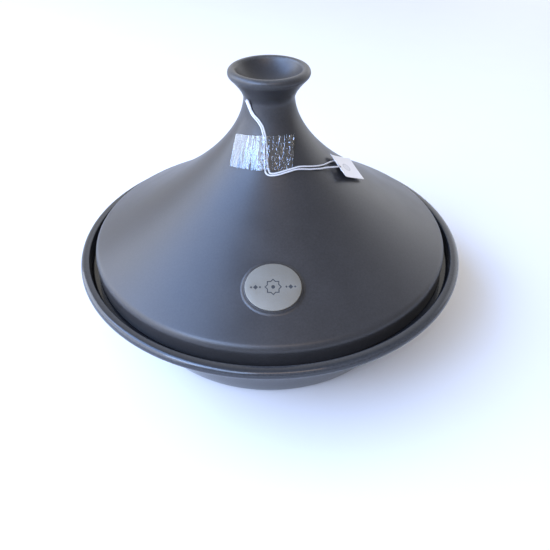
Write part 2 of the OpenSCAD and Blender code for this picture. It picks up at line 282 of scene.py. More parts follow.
class Cone:
    """The lid's hollow-sided cone, from 0 at the shoulder to 1 at the neck."""

    def __init__(self, dish, lid):
        self.radius = dish.diameter / 2 - dish.rim_width - lid.gap
        self.shoulder = lid.seat + lid.skirt_height
        slope, neck = lid.cone_slope, lid.neck_slope
        out = Vector((math.sin(slope), math.cos(slope)))
        self.a = Vector((self.radius - lid.shoulder, self.shoulder)) + lid.shoulder * out
        self.d = Vector((lid.neck / 2, lid.top - lid.knob_height))
        self.b = self.a + lid.cone_reach * Vector((-math.cos(slope), math.sin(slope)))
        self.c = self.d + lid.neck_reach * Vector((math.cos(neck), -math.sin(neck)))

    def at(self, t):
        """The point of the outline, as (radius, height)."""
        return bezier(self.a, self.b, self.c, self.d, t)

    def run(self, t):
        """The outline's run, which is as long as the curve is for t from 0 to 1."""
        a, b, c, d, u = self.a, self.b, self.c, self.d, 1 - t
        return 3 * (u**2 * (b - a) + 2 * t * u * (c - b) + t * t * (d - c))

    def out(self, t):
        """The direction square to the outline, pointing out of the lid."""
        way = self.run(t).normalized()
        return Vector((way.y, -way.x))

    def slope(self, t):
        """The cone's slope as an angle."""
        way = self.run(t)
        return math.atan2(way.y, -way.x)

    def on(self, azimuth, t, lift):
        """A point over the lid, at an angle round it from the badge."""
        p = self.at(t) + lift * self.out(t)
        return Vector((p.x * math.sin(azimuth), -p.x * math.cos(azimuth), p.y))

    def frame(self, azimuth, t, lift, turn=0.0):
        """The place of a thing that lies on the lid: X across, Y up the slope, Z off it."""
        return (
            Matrix.Translation(self.on(azimuth, t, lift))
            @ Matrix.Rotation(azimuth, 4, "Z")
            @ Matrix.Rotation(self.slope(t), 4, "X")
            @ Matrix.Rotation(turn, 4, "Z")
        )


# The knob's lip is round from its edge over the cup down to the neck's flare under it, as
# angles in degrees.
LIP_OVER_CUP, LIP_OVER_FLARE = 115, -45
# The hollow starts and stops this far along the cone.
HOLLOW_LOW, HOLLOW_HIGH = 0.03, 0.9


def lid_outline(cone, lid):
    """The lid from its cup's middle, over the knob, down the cone and up the hollow."""
    knob = lid.knob / 2
    lip = lid.lip / 2
    cup_r = knob - lid.lip + lid.lip_overhang
    cup_top = lid.top - lid.cup_drop
    ball = (cup_r**2 + lid.cup**2) / (2 * lid.cup)
    half = math.degrees(math.asin(cup_r / ball))
    ball_middle = Vector((0, cup_top - lid.cup + ball))
    lip_middle = Vector((knob - lip, lid.top - lip))
    under = math.radians(LIP_OVER_FLARE)
    flare = lip_middle + lip * Vector((math.cos(under), math.sin(under)))
    flare_mid = flare + 6 * MM * Vector((math.sin(under), -math.cos(under)))
    cone_down = [cone.at(1 - i / 72) for i in range(1, 72)]
    hollow = [
        cone.at(t) - lid.wall * cone.out(t)
        for t in (HOLLOW_LOW + (HOLLOW_HIGH - HOLLOW_LOW) * i / 40 for i in range(41))
    ]
    hollow_top = cone.d.y - lid.plug + 3 * MM
    inner = cone.radius - lid.skirt
    edge_round, inner_round = 2 * MM, 1 * MM
    edge_low = Vector((cone.radius - edge_round, lid.seat + edge_round))
    inner_low = Vector((inner + inner_round, lid.seat + inner_round))
    return (
        arc(ball_middle, ball, -90, half - 90, 20)
        + arc(lip_middle, lip, LIP_OVER_CUP, LIP_OVER_FLARE + 10, 18)
        + bezier_run(flare, flare_mid, cone.d + Vector((0.3 * MM, 5 * MM)), cone.d, 20)
        + cone_down
        + arc(Vector((cone.radius - lid.shoulder, cone.shoulder)), lid.shoulder,
              90 - math.degrees(lid.cone_slope), 0, 14)
        + arc(edge_low, edge_round, 0, -90, 6)
        + arc(inner_low, inner_round, -90, -180, 5)
        + [Vector((inner, cone.shoulder - 1 * MM))]
        + hollow
        + [Vector((hollow[-1].x * 0.6, hollow_top - 1 * MM)), Vector((0, hollow_top))]
    )


# ---------------------------------------------------------------- modelling helpers


def deselect():
    """Leaves nothing selected, in object mode."""
    if bpy.context.object and bpy.context.object.mode != "OBJECT":
        bpy.ops.object.mode_set(mode="OBJECT")
    bpy.ops.object.select_all(action="DESELECT")


def only(piece):
    """Selects one object and makes it the active one."""
    deselect()
    piece.select_set(True)
    bpy.context.view_layer.objects.active = piece


def named(name):
    """Names the object that was just added, and its mesh."""
    piece = bpy.context.object
    piece.name = piece.data.name = name
    return piece


def apply_modifier(piece, kind, name, **settings):
    """Adds a modifier and applies it."""
    only(piece)
    modifier = piece.modifiers.new(name, kind)
    for key, value in settings.items():
        setattr(modifier, key, value)
    bpy.ops.object.modifier_apply(modifier=modifier.name)


def settle():
    """Puts the place, turn and size of what is selected into its mesh."""
    bpy.ops.object.transform_apply(location=True, rotation=True, scale=True)


def place(piece, matrix):
    """Moves a piece to its place and puts that place into its mesh."""
    only(piece)
    piece.matrix_world = matrix
    settle()


def smooth_up_to(degrees):
    """Shades what is selected smooth, apart from edges that turn by more than this."""
    bpy.ops.object.shade_smooth_by_angle(angle=math.radians(degrees))


def face_outwards():
    """Turns every face of the mesh in edit mode outwards, and goes back to object mode."""
    bpy.ops.mesh.select_all(action="SELECT")
    bpy.ops.mesh.normals_make_consistent(inside=False)
    bpy.ops.object.mode_set(mode="OBJECT")


def select_edges(piece, wanted):
    """Selects, in edit mode, only the edges whose two ends pass the test."""
    bpy.ops.object.mode_set(mode="EDIT")
    bpy.ops.mesh.select_mode(type="EDGE")
    bpy.ops.mesh.select_all(action="DESELECT")
    bpy.ops.object.mode_set(mode="OBJECT")
    for edge in piece.data.edges:
        edge.select = wanted(*(piece.data.vertices[i].co for i in edge.vertices))
    bpy.ops.object.mode_set(mode="EDIT")


def cut_away(piece, cutter):
    """Cuts one solid out of another and deletes it."""
    apply_modifier(
        piece, "BOOLEAN", "cut", object=cutter, operation="DIFFERENCE", solver="EXACT"
    )
    bpy.data.objects.remove(cutter)


def lathe(name, outline):
    """Draws an outline by extruding one corner along it, and spins it round the axis."""
    deselect()
    start = Vector((outline[0].x, 0, outline[0].y))
    bpy.ops.mesh.primitive_plane_add(size=MM, location=start)
    piece = named(name)
    bpy.ops.object.mode_set(mode="EDIT")
    bpy.ops.mesh.merge(type="CENTER")
    for here, there in zip(outline, outline[1:]):
        step = there - here
        if step.length < SAME_POINT:
            continue
        bpy.ops.mesh.extrude_region_move(
            TRANSFORM_OT_translate={"value": (step.x, 0, step.y)}
        )
    bpy.ops.mesh.select_all(action="SELECT")
    bpy.ops.mesh.spin(steps=AROUND, angle=math.tau, center=(0, 0, 0), axis=(0, 0, 1))
    bpy.ops.mesh.select_all(action="SELECT")
    bpy.ops.mesh.remove_doubles(threshold=SAME_POINT)
    face_outwards()
    settle()
    smooth_up_to(35)
    return piece


def mark_thin_glaze_and_highlight(piece, edges):
    """Stores how much paler the glaze is, 0 to 1, near edges as (radius, height, reach):
    partly thin glaze, partly a painted highlight.
    """
    thin = piece.data.attributes.new("thin_glaze", "FLOAT", "POINT")
    for i, v in enumerate(piece.data.vertices):
        here = Vector((math.hypot(v.co.x, v.co.y), v.co.z))
        thin.data[i].value = max(
            math.exp(-((here - Vector((x, z))).length_squared / reach**2))
            for x, z, reach in edges
        )


def finish_piece(piece, body, material, slot, *replaced):
    """Gives a piece its material and its body, and hides the CAD parts that it replaces."""
    piece.data.materials.clear()
    for m in material if isinstance(material, (list, tuple)) else [material]:
        piece.data.materials.append(m)
    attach(piece, body)
    if replaced:
        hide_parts(*replaced)


# ---------------------------------------------------------------- materials


def add_node(tree, kind, settings=None, links=None):
    """Adds a node, sets its properties, and sets or links its inputs."""
    node = tree.nodes.new(kind)
    for key, value in (settings or {}).items():
        setattr(node, key, value)
    for key, value in (links or {}).items():
        if isinstance(value, bpy.types.NodeSocket):
            tree.links.new(value, node.inputs[key])
        else:
            node.inputs[key].default_value = value
    return node


def new_material(name):
    """An empty node material, with its tree, its shader and its surface's coordinates."""
    material = bpy.data.materials.new(name)
    material.use_nodes = True
    tree = material.node_tree
    tree.nodes.clear()
    shader = add_node(tree, "ShaderNodeBsdfPrincipled")
    add_node(tree, "ShaderNodeOutputMaterial", links={"Surface": shader.outputs["BSDF"]})
    coordinates = add_node(tree, "ShaderNodeTexCoord")
    return material, tree, shader, coordinates


def per(millimetres):
    """The texture scale that repeats every so many millimetres."""
    return 1000 / millimetres


def four(rgb):
    """A colour with its alpha."""
    return (*rgb, 1.0)


def satin_glaze(name, thick, thin, roughness, spread):
    """A satin stoneware glaze, sprayed on and fired.

    It gives the eye a soft window reflection, faint clouds where the spray lay thicker,
    fine mineral mottling, and paler edges, partly where the glaze ran thin in the kiln and
    partly a painted highlight along them."""
    material, tree, shader, coordinates = new_material(name)
    where = coordinates.outputs["Object"]
    clouds = add_node(
        tree, "ShaderNodeTexNoise", {"noise_dimensions": "3D"},
        {"Vector": where, "Scale": per(34), "Detail": 3.0, "Roughness": 0.55},
    )
    # The real mottling is about half a millimetre, and is drawn at 1.4 mm so that it shows.
    mottle = add_node(
        tree, "ShaderNodeTexNoise", {"noise_dimensions": "3D"},
        {"Vector": where, "Scale": per(1.4), "Detail": 2.0, "Roughness": 0.6},
    )
    specks = add_node(
        tree, "ShaderNodeTexVoronoi", {"feature": "F1"},
        {"Vector": where, "Scale": per(5.5), "Randomness": 1.0},
    )
    speck_dots = add_node(
        tree, "ShaderNodeMapRange", None,
        {"Value": specks.outputs["Distance"], "From Min": 0.035, "From Max": 0.075,
         "To Min": 0.5, "To Max": 0.0},
    )
    # Paler edges: partly where the glaze runs thin, partly a painted highlight along them.
    edges = add_node(tree, "ShaderNodeAttribute", {"attribute_name": "thin_glaze"})
    thin_and_highlit = add_node(
        tree, "ShaderNodeMath", {"operation": "MULTIPLY"},
        {0: edges.outputs["Fac"], 1: mottle.outputs["Fac"]},
    )
    body = add_node(
        tree, "ShaderNodeMix", {"data_type": "RGBA"},
        {"Factor": clouds.outputs["Fac"], "A": four([c * 0.82 for c in thick]),
         "B": four([c * 1.22 for c in thick])},
    )
    grain = add_node(
        tree, "ShaderNodeMix", {"data_type": "RGBA", "blend_type": "OVERLAY"},
        {"Factor": 0.35, "A": body.outputs["Result"], "B": mottle.outputs["Fac"]},
    )
    flecked = add_node(
        tree, "ShaderNodeMix", {"data_type": "RGBA"},
        {"Factor": speck_dots.outputs["Result"], "A": grain.outputs["Result"],
         "B": four([c * 1.7 for c in thick])},
    )
    edged = add_node(
        tree, "ShaderNodeMix", {"data_type": "RGBA"},
        {"Factor": thin_and_highlit.outputs["Value"], "A": flecked.outputs["Result"], "B": four(thin)},
    )
    gloss = add_node(
        tree, "ShaderNodeMapRange", None,
        {"Value": clouds.outputs["Fac"], "From Min": 0.3, "From Max": 0.7,
         "To Min": roughness - spread, "To Max": roughness + spread},
    )
    peel = add_node(
        tree, "ShaderNodeBump", None,
        {"Strength": 0.25, "Distance": 0.02 * MM, "Height": mottle.outputs["Fac"]},
    )
    waves = add_node(
        tree, "ShaderNodeBump", None,
        {"Strength": 0.35, "Distance": 0.12 * MM, "Height": clouds.outputs["Fac"],
         "Normal": peel.outputs["Normal"]},
    )
    tree.links.new(edged.outputs["Result"], shader.inputs["Base Color"])
    tree.links.new(gloss.outputs["Result"], shader.inputs["Roughness"])
    tree.links.new(waves.outputs["Normal"], shader.inputs["Normal"])
    shader.inputs["IOR"].default_value = 1.5
    return material


def bare_clay(rgb):
    """Unglazed fired stoneware, which is dull, sandy and flecked with dark grog."""
    material, tree, shader, coordinates = new_material("bare_stoneware")
    sand = add_node(
        tree, "ShaderNodeTexNoise", None,
        {"Vector": coordinates.outputs["Object"], "Scale": per(0.9), "Detail": 4.0},
    )
    tone = add_node(
        tree, "ShaderNodeMix", {"data_type": "RGBA"},
        {"Factor": sand.outputs["Fac"], "A": four([c * 0.7 for c in rgb]),
         "B": four([min(1.0, c * 1.3) for c in rgb])},
    )
    grit = add_node(
        tree, "ShaderNodeBump", None,
        {"Strength": 0.6, "Distance": 0.08 * MM, "Height": sand.outputs["Fac"]},
    )
    tree.links.new(tone.outputs["Result"], shader.inputs["Base Color"])
    tree.links.new(grit.outputs["Normal"], shader.inputs["Normal"])
    shader.inputs["Roughness"].default_value = 0.85
    return material


def blasted_aluminium(rgb):
    """Bead-blasted, clear anodised aluminium, which is pale, even and finely grained."""
    material, tree, shader, coordinates = new_material("blasted_aluminium")
    # The blasted grain is about 0.1 mm, and is drawn at 0.45 mm so that it shows.
    grain = add_node(
        tree, "ShaderNodeTexNoise", None,
        {"Vector": coordinates.outputs["Object"], "Scale": per(0.45), "Detail": 2.0},
    )
    smudge = add_node(
        tree, "ShaderNodeTexNoise", None,
        {"Vector": coordinates.outputs["Object"], "Scale": per(9), "Detail": 2.0},
    )
    tone = add_node(
        tree, "ShaderNodeMix", {"data_type": "RGBA"},
        {"Factor": grain.outputs["Fac"], "A": four([c * 0.88 for c in rgb]),
         "B": four(rgb)},
    )
    gloss = add_node(
        tree, "ShaderNodeMapRange", None,
        {"Value": smudge.outputs["Fac"], "From Min": 0.3, "From Max": 0.7,
         "To Min": 0.55, "To Max": 0.63},
    )
    pits = add_node(
        tree, "ShaderNodeBump", None,
        {"Strength": 0.35, "Distance": 0.02 * MM, "Height": grain.outputs["Fac"]},
    )
    tree.links.new(tone.outputs["Result"], shader.inputs["Base Color"])
    tree.links.new(gloss.outputs["Result"], shader.inputs["Roughness"])
    tree.links.new(pits.outputs["Normal"], shader.inputs["Normal"])
    shader.inputs["Metallic"].default_value = 1.0
    return material


def stoved_enamel(rgb):
    """Soft enamel stoved into the stamped pattern: dark, smooth and a little sunken."""
    material, tree, shader, coordinates = new_material("stoved_enamel")
    pool = add_node(
        tree, "ShaderNodeTexNoise", None,
        {"Vector": coordinates.outputs["Object"], "Scale": per(1.8), "Detail": 1.0},
    )
    tone = add_node(
        tree, "ShaderNodeMix", {"data_type": "RGBA"},
        {"Factor": pool.outputs["Fac"], "A": four([c * 0.8 for c in rgb]), "B": four(rgb)},
    )
    tree.links.new(tone.outputs["Result"], shader.inputs["Base Color"])
    shader.inputs["Roughness"].default_value = 0.3
    shader.inputs["IOR"].default_value = 1.5
    return material


def foam_adhesive(rgb):
    """Acrylic foam tape, a dull cream line under the badge's edge."""
    material, tree, shader, coordinates = new_material("foam_adhesive")
    cells = add_node(
        tree, "ShaderNodeTexVoronoi", None,
        {"Vector": coordinates.outputs["Object"], "Scale": per(0.4)},
    )
    tone = add_node(
        tree, "ShaderNodeMix", {"data_type": "RGBA"},
        {"Factor": cells.outputs["Distance"], "A": four(rgb),
         "B": four([c * 0.8 for c in rgb])},
    )
    tree.links.new(tone.outputs["Result"], shader.inputs["Base Color"])
    shader.inputs["Roughness"].default_value = 0.8
    return material


def twisted_cotton(rgb):
    """Bleached three-ply cotton: bright and soft-edged, with painted shade in the grooves
    between its plies.
    """
    material, tree, shader, coordinates = new_material("twisted_cotton")
    fibres = add_node(
        tree, "ShaderNodeTexNoise", None,
        {"Vector": coordinates.outputs["Object"], "Scale": per(0.35), "Detail": 3.0},
    )
    # Painted shade: the cotton's colour is darkened where it sits deep in a groove between its
    # plies.
    groove = add_node(tree, "ShaderNodeAttribute", {"attribute_name": "groove"})
    tone = add_node(
        tree, "ShaderNodeMix", {"data_type": "RGBA"},
        {"Factor": groove.outputs["Fac"], "A": four(rgb),
         "B": four([c * 0.55 for c in rgb])},
    )
    fuzz = add_node(
        tree, "ShaderNodeBump", None,
        {"Strength": 0.5, "Distance": 0.06 * MM, "Height": fibres.outputs["Fac"]},
    )
    tree.links.new(tone.outputs["Result"], shader.inputs["Base Color"])
    tree.links.new(fuzz.outputs["Normal"], shader.inputs["Normal"])
    shader.inputs["Roughness"].default_value = 0.8
    shader.inputs["Sheen Weight"].default_value = 0.3
    shader.inputs["Sheen Roughness"].default_value = 0.5
    return material


def coated_card(card, ink):
    """Coated white card with one faint printed oval, smooth but not shiny."""
    material, tree, shader, _ = new_material("coated_card")
    place_on_card = add_node(tree, "ShaderNodeUVMap", {"uv_map": "card"})
    # The map is in millimetres from the card's middle, so a scale of 1 is a millimetre.
    centred = add_node(
        tree, "ShaderNodeMapping", {"vector_type": "POINT"},
        {"Vector": place_on_card.outputs["UV"], "Location": (0.1, 0.0, 0.0),
         "Scale": (1 / 4.4, 1 / 3.2, 1.0)},
    )
    from_middle = add_node(
        tree, "ShaderNodeVectorMath", {"operation": "LENGTH"},
        {0: centred.outputs["Vector"]},
    )
    off_ring = add_node(
        tree, "ShaderNodeMath", {"operation": "SUBTRACT"},
        {0: from_middle.outputs["Value"], 1: 1.0},
    )
    ring_gap = add_node(
        tree, "ShaderNodeMath", {"operation": "ABSOLUTE"}, {0: off_ring.outputs["Value"]}
    )
    ring = add_node(
        tree, "ShaderNodeMapRange", None,
        {"Value": ring_gap.outputs["Value"], "From Min": 0.1, "From Max": 0.2,
         "To Min": 0.6, "To Max": 0.0},
    )
    wash = add_node(
        tree, "ShaderNodeMapRange", None,
        {"Value": from_middle.outputs["Value"], "From Min": 0.75, "From Max": 1.0,
         "To Min": 0.3, "To Max": 0.0},
    )
    inked = add_node(
        tree, "ShaderNodeMath", {"operation": "MAXIMUM"},
        {0: ring.outputs["Result"], 1: wash.outputs["Result"]},
    )
    fibre = add_node(
        tree, "ShaderNodeTexNoise", {"noise_dimensions": "2D"},
        {"Vector": place_on_card.outputs["UV"], "Scale": 1.6, "Detail": 4.0},
    )
    paper = add_node(
        tree, "ShaderNodeMix", {"data_type": "RGBA"},
        {"Factor": fibre.outputs["Fac"], "A": four([c * 0.93 for c in card]),
         "B": four(card)},
    )
    printed = add_node(
        tree, "ShaderNodeMix", {"data_type": "RGBA"},
        {"Factor": inked.outputs["Value"], "A": paper.outputs["Result"], "B": four(ink)},
    )
    tooth = add_node(
        tree, "ShaderNodeBump", None,
        {"Strength": 0.2, "Distance": 0.02 * MM, "Height": fibre.outputs["Fac"]},
    )
    tree.links.new(printed.outputs["Result"], shader.inputs["Base Color"])
    tree.links.new(tooth.outputs["Normal"], shader.inputs["Normal"])
    shader.inputs["Roughness"].default_value = 0.45
    return material


def clear_film(rgb, glare_rgb):
    """Clear polypropylene tape, glossy and a little wavy.

    It is seen mostly by its glints, and by a pale veil that is painted at its left end as the
    window's reflection."""
    material, tree, shader, coordinates = new_material("clear_polypropylene")
    # Painted reflection: a pale veil that tints the film and makes it less clear, most at its
    # left end.
    glare = add_node(tree, "ShaderNodeAttribute", {"attribute_name": "trapped_air"})
    clear = add_node(
        tree, "ShaderNodeMapRange", None,
        {"Value": glare.outputs["Fac"], "From Min": 0.0, "From Max": 1.0,
         "To Min": 1.0, "To Max": 0.45},
    )
    tone = add_node(
        tree, "ShaderNodeMix", {"data_type": "RGBA"},
        {"Factor": glare.outputs["Fac"], "A": four(rgb), "B": four(glare_rgb)},
    )
    ripple = add_node(
        tree, "ShaderNodeTexNoise", None,
        {"Vector": coordinates.outputs["Object"], "Scale": per(3.0), "Detail": 2.0},
    )
    waves = add_node(
        tree, "ShaderNodeBump", None,
        {"Strength": 0.7, "Distance": 0.14 * MM, "Height": ripple.outputs["Fac"]},
    )
    tree.links.new(waves.outputs["Normal"], shader.inputs["Normal"])
    tree.links.new(tone.outputs["Result"], shader.inputs["Base Color"])
    tree.links.new(clear.outputs["Result"], shader.inputs["Transmission Weight"])
    shader.inputs["Roughness"].default_value = 0.06
    shader.inputs["IOR"].default_value = 1.52
    return material


def pale_floor(rgb):
    """Matt white board, with hardly any texture."""
    material, tree, shader, coordinates = new_material("matt_white_board")
    tooth = add_node(
        tree, "ShaderNodeTexNoise", None,
        {"Vector": coordinates.outputs["Object"], "Scale": per(60), "Detail": 2.0},
    )
    tone = add_node(
        tree, "ShaderNodeMix", {"data_type": "RGBA"},
        {"Factor": tooth.outputs["Fac"], "A": four([c * 0.98 for c in rgb]),
         "B": four(rgb)},
    )
    tree.links.new(tone.outputs["Result"], shader.inputs["Base Color"])
    shader.inputs["Roughness"].default_value = 0.6
    return material


# ---------------------------------------------------------------- stage


# Where the camera stands, how it is turned in degrees, and its lens and sensor width in
# millimetres.
CAMERA_AT = (-0.00658, -0.39651, 0.34548)
CAMERA_TURN = (50.96, 0.0, -1.566)
CAMERA_LENS, CAMERA_SENSOR = 36.07, 36.0
# The lights: angle round the pot from its front and angle above it in degrees, distance, width
# and height in metres, how bright, and which colour of the stage.
LIGHTS = {
    "window": (-84, 23, 1.8, 3.0, 1.35, 4.4, "window"),
    "front_window": (-36, 38, 1.8, 1.3, 0.8, 9.0, "blue_window"),
    "sky_window": (-76, 50, 1.8, 2.0, 0.8, 7.0, "sky"),
    "back_wall": (130, 16, 1.8, 1.9, 1.1, 0.9, "window"),
    "room_light": (8, 50, 2.0, 1.1, 0.5, 3.0, "room"),
}


def add_softbox(name, azimuth, elevation, distance, wide, high, radiance, rgb):
    """A soft rectangular light that faces the pot, from an angle round it and above it."""
    a, e = math.radians(azimuth), math.radians(elevation)
    way = Vector((math.sin(a) * math.cos(e), -math.cos(a) * math.cos(e), math.sin(e)))
    target = Vector((0, 0, 0.1))
    turned = way.to_track_quat("Z", "Y").to_euler()
    bpy.ops.object.light_add(type="AREA", location=target + distance * way, rotation=turned)
    light = named(name)
    light.data.shape = "RECTANGLE"
    light.data.size, light.data.size_y = wide, high
    light.data.energy = radiance * math.pi * wide * high
    light.data.color = rgb
    light.visible_camera = False
    return light


# The room's light comes from this direction, and grows from dim to bright towards it.
BRIGHT_WAY = (0.05, 0.97, -0.2)
ROOM_DIM, ROOM_BRIGHT = 0.36, 1.15
ROOM_WHITE = (1.0, 0.972, 0.93, 1.0)


def white_room():
    """A room that is bright behind the pot and dim towards its front and right."""
    world = bpy.data.worlds.new("white_room")
    world.use_nodes = True
    tree = world.node_tree
    way = add_node(tree, "ShaderNodeTexCoord")
    behind = add_node(
        tree, "ShaderNodeVectorMath", {"operation": "DOT_PRODUCT"},
        {0: way.outputs["Generated"], 1: BRIGHT_WAY},
    )
    strength = add_node(
        tree, "ShaderNodeMapRange", {"interpolation_type": "SMOOTHSTEP"},
        {"Value": behind.outputs["Value"], "From Min": -0.25, "From Max": 0.75,
         "To Min": ROOM_DIM, "To Max": ROOM_BRIGHT},
    )
    tree.links.new(strength.outputs["Result"], tree.nodes["Background"].inputs["Strength"])
    tree.nodes["Background"].inputs["Color"].default_value = ROOM_WHITE
    return world


class TAGINE_OT_stage(bpy.types.Operator):
    """Sets up the camera, the plain floor and the soft light"""

    bl_idname = "tagine.stage"
    bl_label = "Stage"

    def execute(self, context):
        look = context.scene.tagine_stage
        deselect()
        bpy.ops.object.camera_add(
            location=CAMERA_AT, rotation=[math.radians(a) for a in CAMERA_TURN]
        )
        camera = named("camera")
        camera.data.lens, camera.data.sensor_width = CAMERA_LENS, CAMERA_SENSOR
        camera.data.clip_start = 0.01
        context.scene.camera = camera

        bpy.ops.mesh.primitive_plane_add(size=8, location=(0, 0, 0))
        floor = named("floor")
        bpy.ops.object.mode_set(mode="EDIT")
        bpy.ops.mesh.subdivide(number_cuts=3)
        bpy.ops.object.mode_set(mode="OBJECT")
        floor.data.materials.append(pale_floor(look.floor))

        for name, (*numbers, tint) in LIGHTS.items():
            add_softbox(name, *numbers, getattr(look, tint))
        context.scene.world = white_room()
        context.scene.view_settings.view_transform = "Standard"
        return {"FINISHED"}


# ---------------------------------------------------------------- string

# The string's route over the lid: angle from the badge in degrees, place on the cone, and
# extra lift in millimetres over where it would lie. The loop runs through the card's hole,
# in millimetres on the card.
ROUTE_OUT = [
    (-52.6, 1.015, 1), (-49.3, 0.99, 0.35), (-44, 0.966, 0), (-36, 0.9435, 0),
    (-26.3, 0.9245, 0), (-19.6, 0.9065, 0), (-15, 0.888, 0), (-11.5, 0.86, 0),
    (-9.2, 0.832, 0), (-8, 0.79, 0), (-7.4, 0.75, 0), (-6.6, 0.72, 0), (-5.7, 0.698, 0),
    (-4.4, 0.683, 0), (-1.5, 0.6755, 0), (3, 0.6745, 0), (8, 0.677, 0), (13, 0.6805, 0.2),
    (19, 0.684, 0.4), (26, 0.686, 0.3), (33, 0.681, 0), (41, 0.6685, 0), (48, 0.6575, 0.2),
    (54, 0.646, 0.5), (59.8, 0.635, 1.2),
]
ROUTE_LOOP = [
    (-18.5, -2.2, 0.96), (-16.4, -1.7, 1.07), (-14.6, -1.1, 1.07), (-13.2, -0.5, 0.73),
    (-12, 0, 0), (-10.8, 0.5, -0.7), (-9.5, 1.4, -1.07), (-8.6, 3, -1.13),
    (-8.8, 4.9, -1.13), (-10.4, 6.3, -1.13), (-13, 6.1, -1.13), (-16, 5.2, -1.13),
    (-19, 4.6, -1.24),
]
ROUTE_BACK = [
    (64.5, 0.646, 0.4), (59, 0.654, 0.1), (52.5, 0.664, 0), (46, 0.6745, 0),
    (38, 0.6865, 0), (30, 0.6945, 0.2), (22, 0.6935, 0.4), (15, 0.6905, 0.4),
    (9, 0.6865, 0.2), (4, 0.683, 0), (1, 0.6828, 0), (-1, 0.6865, 0), (-2.9, 0.705, 0),
    (-3.6, 0.725, 0), (-4, 0.75, 0), (-4.7, 0.79, 0), (-5.9, 0.832, 0), (-8.3, 0.8625, 0),
    (-12.2, 0.8935, 0), (-16.8, 0.9125, 0), (-24, 0.9325, 0), (-33.2, 0.95, 0),
    (-40.4, 0.9705, 0), (-45.6, 0.9945, 0.35), (-48.4, 1.018, 1.1),
]
STRING_PLAY = 0.18 * MM
STRING_SIDES = 18
FRAYED_END = 6 * MM


def string_route(cone, tag):
    """The points that the string's middle runs through, from one cut end to the other."""
    lie = tag.string / 2 + STRING_PLAY
    card = cone.frame(tag.azimuth, tag.place, tag.lift + tag.thick / 2, tag.turn)

    def over_lid(route):
        return [cone.on(math.radians(a), t, lie + lift * MM) for a, t, lift in route]

    loop = [card @ (Vector(p) * MM) for p in ROUTE_LOOP]
    return over_lid(ROUTE_OUT) + loop + over_lid(ROUTE_BACK)


def smooth_line(points, between):
    """A smooth line through points, with extra points between them."""
    line = []
    last = len(points) - 1
    for i in range(last):
        a = points[i - 1] if i > 0 else 2 * points[0] - points[1]
        b, c = points[i], points[i + 1]
        d = points[i + 2] if i < last - 1 else 2 * points[last] - points[last - 1]
        for k in range(between):
            t = k / between
            line.append(
                0.5 * (2 * b + (c - a) * t + (2 * a - 5 * b + 4 * c - d) * t**2
                       + (3 * b - a - 3 * c + d) * t**3)
            )
    return line + [points[last]]


def sweep(line, radius_at, sides):
    """Rings of points round a line, without twisting, and the faces of their tube."""
    rings, faces = [], []
    way = (line[1] - line[0]).normalized()
    side = way.orthogonal().normalized()
    run = 0.0
    last = len(line) - 1
    for i, p in enumerate(line):
        ahead = (line[min(i + 1, last)] - line[max(i - 1, 0)]).normalized()
        side = (way.rotation_difference(ahead) @ side).normalized()
        way = ahead
        up = way.cross(side)
        if i:
            run += (p - line[i - 1]).length
        for k in range(sides):
            turn = math.tau * k / sides
            r = radius_at(run, turn)
            rings.append(p + r * (math.cos(turn) * side + math.sin(turn) * up))
    for i in range(last):
        for k in range(sides):
            a, b = i * sides + k, i * sides + (k + 1) % sides
            faces.append((a, b, b + sides, a + sides))
    faces.append(tuple(reversed(range(sides))))
    faces.append(tuple(range(last * sides, (last + 1) * sides)))
    return rings, faces


def fibre_radius(run, turn):
    """A loose fibre's radius, which tapers along it and is the same all round."""
    return max(0.03 * MM, 0.14 * MM - 0.05 * run)


def add_loose_fibres(verts, faces, tip, way, up, count, draws):
    """Thin curved fibres that splay out of a cut end of the string."""
    across = way.cross(up).normalized()
    for _ in range(count):
        turn = draws.uniform(0, math.tau)
        out = math.cos(turn) * across + math.sin(turn) * up
        reach, splay = draws.uniform(1.2, 2.3) * MM, draws.uniform(0.25, 0.75)
        start = tip - 0.8 * MM * way + 0.25 * MM * out
        line = [
            start + way * reach * s + out * splay * reach * s * s
            for s in (0, 0.25, 0.5, 0.75, 1)
        ]
        fibre, skin = sweep(line, fibre_radius, 5)
        faces += [tuple(i + len(verts) for i in f) for f in skin]
        verts += fibre


